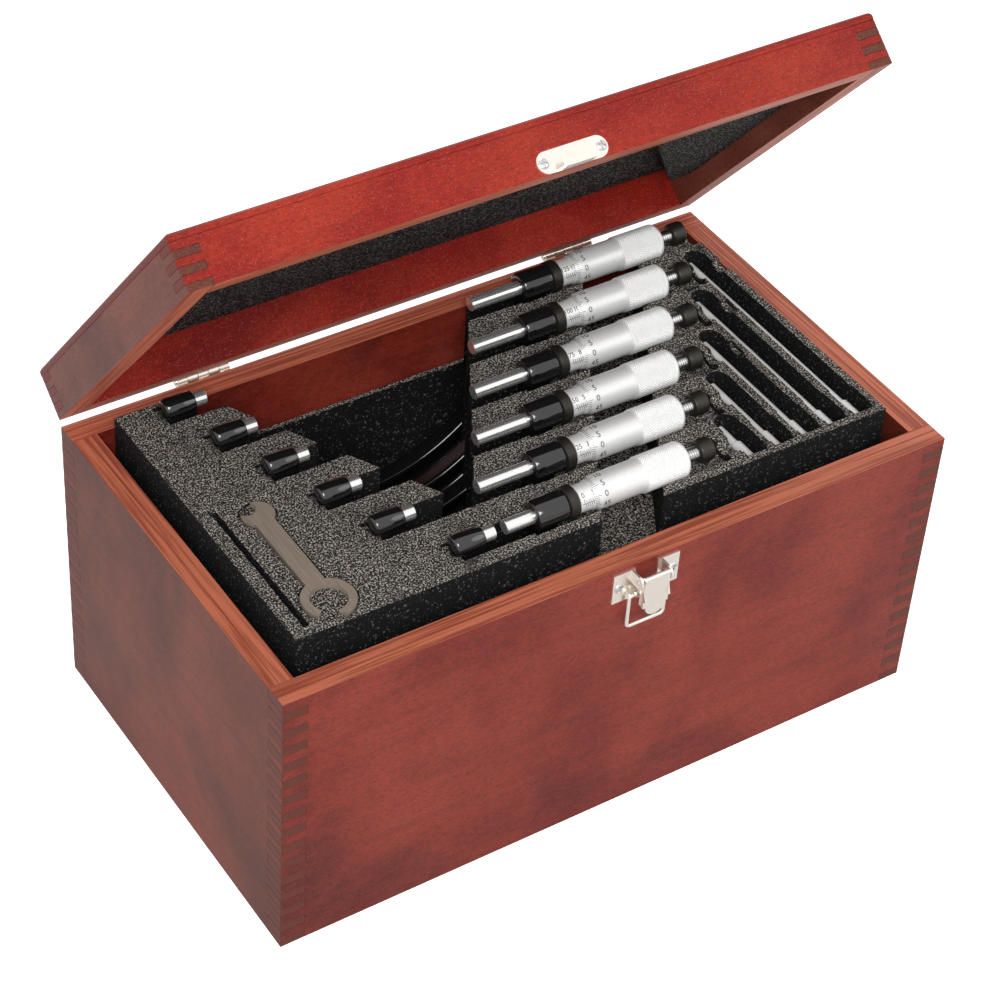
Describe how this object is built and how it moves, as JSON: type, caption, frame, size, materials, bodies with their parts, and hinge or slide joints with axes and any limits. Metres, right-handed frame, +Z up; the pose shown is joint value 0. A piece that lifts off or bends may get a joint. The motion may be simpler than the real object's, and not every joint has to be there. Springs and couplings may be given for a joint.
{
  "type": "micrometer case",
  "caption": "Fitted wooden case with finger-jointed corners, a hinged lid and a draw latch, holding outside micrometers, end standards and a wrench in grey foam.",
  "frame": {"origin": "centre of the case's underside", "axes": "+X to the right along the front, -Y towards the front with the latch, +Z up"},
  "size_m": [0.32, 0.2132, 0.2989],
  "materials": {
    "stained_wood": "satin",
    "bottom_board": "matte",
    "foam": "matte",
    "nickel_plate": "satin",
    "screws": "satin",
    "dark_steel": "satin",
    "bright_steel": "gloss",
    "black_enamel": "gloss",
    "satin_chrome": "satin",
    "black_knurled": "satin"
  },
  "bodies": {
    "case": {"front_panel": "stained_wood", "back_panel": "stained_wood", "end_panels": "stained_wood", "bottom_panel": "bottom_board", "case_foam": "foam", "hinge_case_leaves": "nickel_plate", "latch_base": "nickel_plate", "case_screws": "screws"},
    "lid": {"lid_front_rail": "stained_wood", "lid_back_rail": "stained_wood", "lid_end_rails": "stained_wood", "lid_top_panel": "stained_wood", "lid_foam": "foam", "hinge_lid_leaves": "nickel_plate", "latch_keeper": "nickel_plate", "lid_screws": "screws"},
    "lever": {"latch_lever": "nickel_plate"},
    "bail": {"latch_bail": "nickel_plate"},
    "wrench_body": {"wrench": "dark_steel"},
    "standard_body_1": {"standard_1": "bright_steel"},
    "standard_body_2": {"standard_2": "bright_steel"},
    "standard_body_3": {"standard_3": "bright_steel"},
    "standard_body_4": {"standard_4": "bright_steel"},
    "standard_body_5": {"standard_5": "bright_steel"},
    "micrometer_1": {"frame_1": "black_enamel", "sleeve_1": "satin_chrome"},
    "lock_1": {"lock_ring_1": "black_knurled"},
    "screw_1": {"spindle_1": "bright_steel"},
    "drum_1": {"thimble_1": "satin_chrome"},
    "knob_1": {"ratchet_1": "black_knurled"},
    "micrometer_2": {"frame_2": "black_enamel", "sleeve_2": "satin_chrome"},
    "lock_2": {"lock_ring_2": "black_knurled"},
    "screw_2": {"spindle_2": "bright_steel"},
    "drum_2": {"thimble_2": "satin_chrome"},
    "knob_2": {"ratchet_2": "black_knurled"},
    "micrometer_3": {"frame_3": "black_enamel", "sleeve_3": "satin_chrome"},
    "lock_3": {"lock_ring_3": "black_knurled"},
    "screw_3": {"spindle_3": "bright_steel"},
    "drum_3": {"thimble_3": "satin_chrome"},
    "knob_3": {"ratchet_3": "black_knurled"},
    "micrometer_4": {"frame_4": "black_enamel", "sleeve_4": "satin_chrome"},
    "lock_4": {"lock_ring_4": "black_knurled"},
    "screw_4": {"spindle_4": "bright_steel"},
    "drum_4": {"thimble_4": "satin_chrome"},
    "knob_4": {"ratchet_4": "black_knurled"},
    "micrometer_5": {"frame_5": "black_enamel", "sleeve_5": "satin_chrome"},
    "lock_5": {"lock_ring_5": "black_knurled"},
    "screw_5": {"spindle_5": "bright_steel"},
    "drum_5": {"thimble_5": "satin_chrome"},
    "knob_5": {"ratchet_5": "black_knurled"},
    "micrometer_6": {"frame_6": "black_enamel", "sleeve_6": "satin_chrome"},
    "lock_6": {"lock_ring_6": "black_knurled"},
    "screw_6": {"spindle_6": "bright_steel"},
    "drum_6": {"thimble_6": "satin_chrome"},
    "knob_6": {"ratchet_6": "black_knurled"}
  },
  "joints": [
    {"name": "lid_hinge", "type": "hinge", "parent": "case", "child": "lid", "pos_m": [0, 0.0955, 0.1391], "axis": [-1, 0, 0], "range_deg": [-51, 59]},
    {"name": "lever_hinge", "type": "hinge", "parent": "case", "child": "lever", "pos_m": [0.006, -0.0983, 0.134], "axis": [1, 0, 0], "range_deg": [-130, 0]},
    {"name": "bail_hinge", "type": "hinge", "parent": "lever", "child": "bail", "pos_m": [0.006, -0.0955, 0.125], "axis": [-1, 0, 0], "range_deg": [0, 180]},
    {"name": "wrench_lift", "type": "slide", "parent": "case", "child": "wrench_body", "axis": [0, 0, 1], "range_m": [0, 0.04]},
    {"name": "standard_1_lift", "type": "slide", "parent": "case", "child": "standard_body_1", "axis": [0, 0, 1], "range_m": [0, 0.03]},
    {"name": "standard_2_lift", "type": "slide", "parent": "case", "child": "standard_body_2", "axis": [0, 0, 1], "range_m": [0, 0.03]},
    {"name": "standard_3_lift", "type": "slide", "parent": "case", "child": "standard_body_3", "axis": [0, 0, 1], "range_m": [0, 0.03]},
    {"name": "standard_4_lift", "type": "slide", "parent": "case", "child": "standard_body_4", "axis": [0, 0, 1], "range_m": [0, 0.03]},
    {"name": "standard_5_lift", "type": "slide", "parent": "case", "child": "standard_body_5", "axis": [0, 0, 1], "range_m": [0, 0.03]},
    {"name": "micrometer_1_lift", "type": "slide", "parent": "case", "child": "micrometer_1", "axis": [0, 0, 1], "range_m": [0, 0.05]},
    {"name": "lock_1_turn", "type": "hinge", "parent": "micrometer_1", "child": "lock_1", "pos_m": [-0.0115, -0.057, 0.148], "axis": [1, 0, 0], "range_deg": [-15, 15]},
    {"name": "spindle_1_travel", "type": "slide", "parent": "micrometer_1", "child": "screw_1", "axis": [1, 0, 0], "range_m": [-0.00495, 0.01995]},
    {"name": "thimble_1_turn", "type": "hinge", "parent": "screw_1", "child": "drum_1", "pos_m": [-0.0115, -0.057, 0.148], "axis": [1, 0, 0], "range_deg": [-3565, 14365]},
    {"name": "ratchet_1_turn", "type": "hinge", "parent": "drum_1", "child": "knob_1", "pos_m": [0.0575, -0.057, 0.148], "axis": [1, 0, 0], "continuous": true},
    {"name": "micrometer_2_lift", "type": "slide", "parent": "case", "child": "micrometer_2", "axis": [0, 0, 1], "range_m": [0, 0.06]},
    {"name": "lock_2_turn", "type": "hinge", "parent": "micrometer_2", "child": "lock_2", "pos_m": [0.004, -0.0312, 0.148], "axis": [1, 0, 0], "range_deg": [-15, 15]},
    {"name": "spindle_2_travel", "type": "slide", "parent": "micrometer_2", "child": "screw_2", "axis": [1, 0, 0], "range_m": [-0.00495, 0.01995]},
    {"name": "thimble_2_turn", "type": "hinge", "parent": "screw_2", "child": "drum_2", "pos_m": [0.004, -0.0312, 0.148], "axis": [1, 0, 0], "range_deg": [-3565, 14365]},
    {"name": "ratchet_2_turn", "type": "hinge", "parent": "drum_2", "child": "knob_2", "pos_m": [0.073, -0.0312, 0.148], "axis": [1, 0, 0], "continuous": true},
    {"name": "micrometer_3_lift", "type": "slide", "parent": "case", "child": "micrometer_3", "axis": [0, 0, 1], "range_m": [0, 0.07]},
    {"name": "lock_3_turn", "type": "hinge", "parent": "micrometer_3", "child": "lock_3", "pos_m": [0.0195, -0.0054, 0.148], "axis": [1, 0, 0], "range_deg": [-15, 15]},
    {"name": "spindle_3_travel", "type": "slide", "parent": "micrometer_3", "child": "screw_3", "axis": [1, 0, 0], "range_m": [-0.00495, 0.01995]},
    {"name": "thimble_3_turn", "type": "hinge", "parent": "screw_3", "child": "drum_3", "pos_m": [0.0195, -0.0054, 0.148], "axis": [1, 0, 0], "range_deg": [-3565, 14365]},
    {"name": "ratchet_3_turn", "type": "hinge", "parent": "drum_3", "child": "knob_3", "pos_m": [0.0885, -0.0054, 0.148], "axis": [1, 0, 0], "continuous": true},
    {"name": "micrometer_4_lift", "type": "slide", "parent": "case", "child": "micrometer_4", "axis": [0, 0, 1], "range_m": [0, 0.08]},
    {"name": "lock_4_turn", "type": "hinge", "parent": "micrometer_4", "child": "lock_4", "pos_m": [0.035, 0.0204, 0.148], "axis": [1, 0, 0], "range_deg": [-15, 15]},
    {"name": "spindle_4_travel", "type": "slide", "parent": "micrometer_4", "child": "screw_4", "axis": [1, 0, 0], "range_m": [-0.00495, 0.01995]},
    {"name": "thimble_4_turn", "type": "hinge", "parent": "screw_4", "child": "drum_4", "pos_m": [0.035, 0.0204, 0.148], "axis": [1, 0, 0], "range_deg": [-3565, 14365]},
    {"name": "ratchet_4_turn", "type": "hinge", "parent": "drum_4", "child": "knob_4", "pos_m": [0.104, 0.0204, 0.148], "axis": [1, 0, 0], "continuous": true},
    {"name": "micrometer_5_lift", "type": "slide", "parent": "case", "child": "micrometer_5", "axis": [0, 0, 1], "range_m": [0, 0.05]},
    {"name": "lock_5_turn", "type": "hinge", "parent": "micrometer_5", "child": "lock_5", "pos_m": [0.0505, 0.0462, 0.148], "axis": [1, 0, 0], "range_deg": [-15, 15]},
    {"name": "spindle_5_travel", "type": "slide", "parent": "micrometer_5", "child": "screw_5", "axis": [1, 0, 0], "range_m": [-0.00495, 0.01995]},
    {"name": "thimble_5_turn", "type": "hinge", "parent": "screw_5", "child": "drum_5", "pos_m": [0.0505, 0.0462, 0.148], "axis": [1, 0, 0], "range_deg": [-3565, 14365]},
    {"name": "ratchet_5_turn", "type": "hinge", "parent": "drum_5", "child": "knob_5", "pos_m": [0.1195, 0.0462, 0.148], "axis": [1, 0, 0], "continuous": true},
    {"name": "micrometer_6_lift", "type": "slide", "parent": "case", "child": "micrometer_6", "axis": [0, 0, 1], "range_m": [0, 0.022]},
    {"name": "lock_6_turn", "type": "hinge", "parent": "micrometer_6", "child": "lock_6", "pos_m": [0.066, 0.072, 0.148], "axis": [1, 0, 0], "range_deg": [-15, 15]},
    {"name": "spindle_6_travel", "type": "slide", "parent": "micrometer_6", "child": "screw_6", "axis": [1, 0, 0], "range_m": [-0.00495, 0.01995]},
    {"name": "thimble_6_turn", "type": "hinge", "parent": "screw_6", "child": "drum_6", "pos_m": [0.066, 0.072, 0.148], "axis": [1, 0, 0], "range_deg": [-3565, 14365]},
    {"name": "ratchet_6_turn", "type": "hinge", "parent": "drum_6", "child": "knob_6", "pos_m": [0.135, 0.072, 0.148], "axis": [1, 0, 0], "continuous": true}
  ],
  "couplings": [
    {"joint": "thimble_1_turn", "follows": "spindle_1_travel", "rad_per_m": 12566},
    {"joint": "thimble_2_turn", "follows": "spindle_2_travel", "rad_per_m": 12566},
    {"joint": "thimble_3_turn", "follows": "spindle_3_travel", "rad_per_m": 12566},
    {"joint": "thimble_4_turn", "follows": "spindle_4_travel", "rad_per_m": 12566},
    {"joint": "thimble_5_turn", "follows": "spindle_5_travel", "rad_per_m": 12566},
    {"joint": "thimble_6_turn", "follows": "spindle_6_travel", "rad_per_m": 12566}
  ]
}
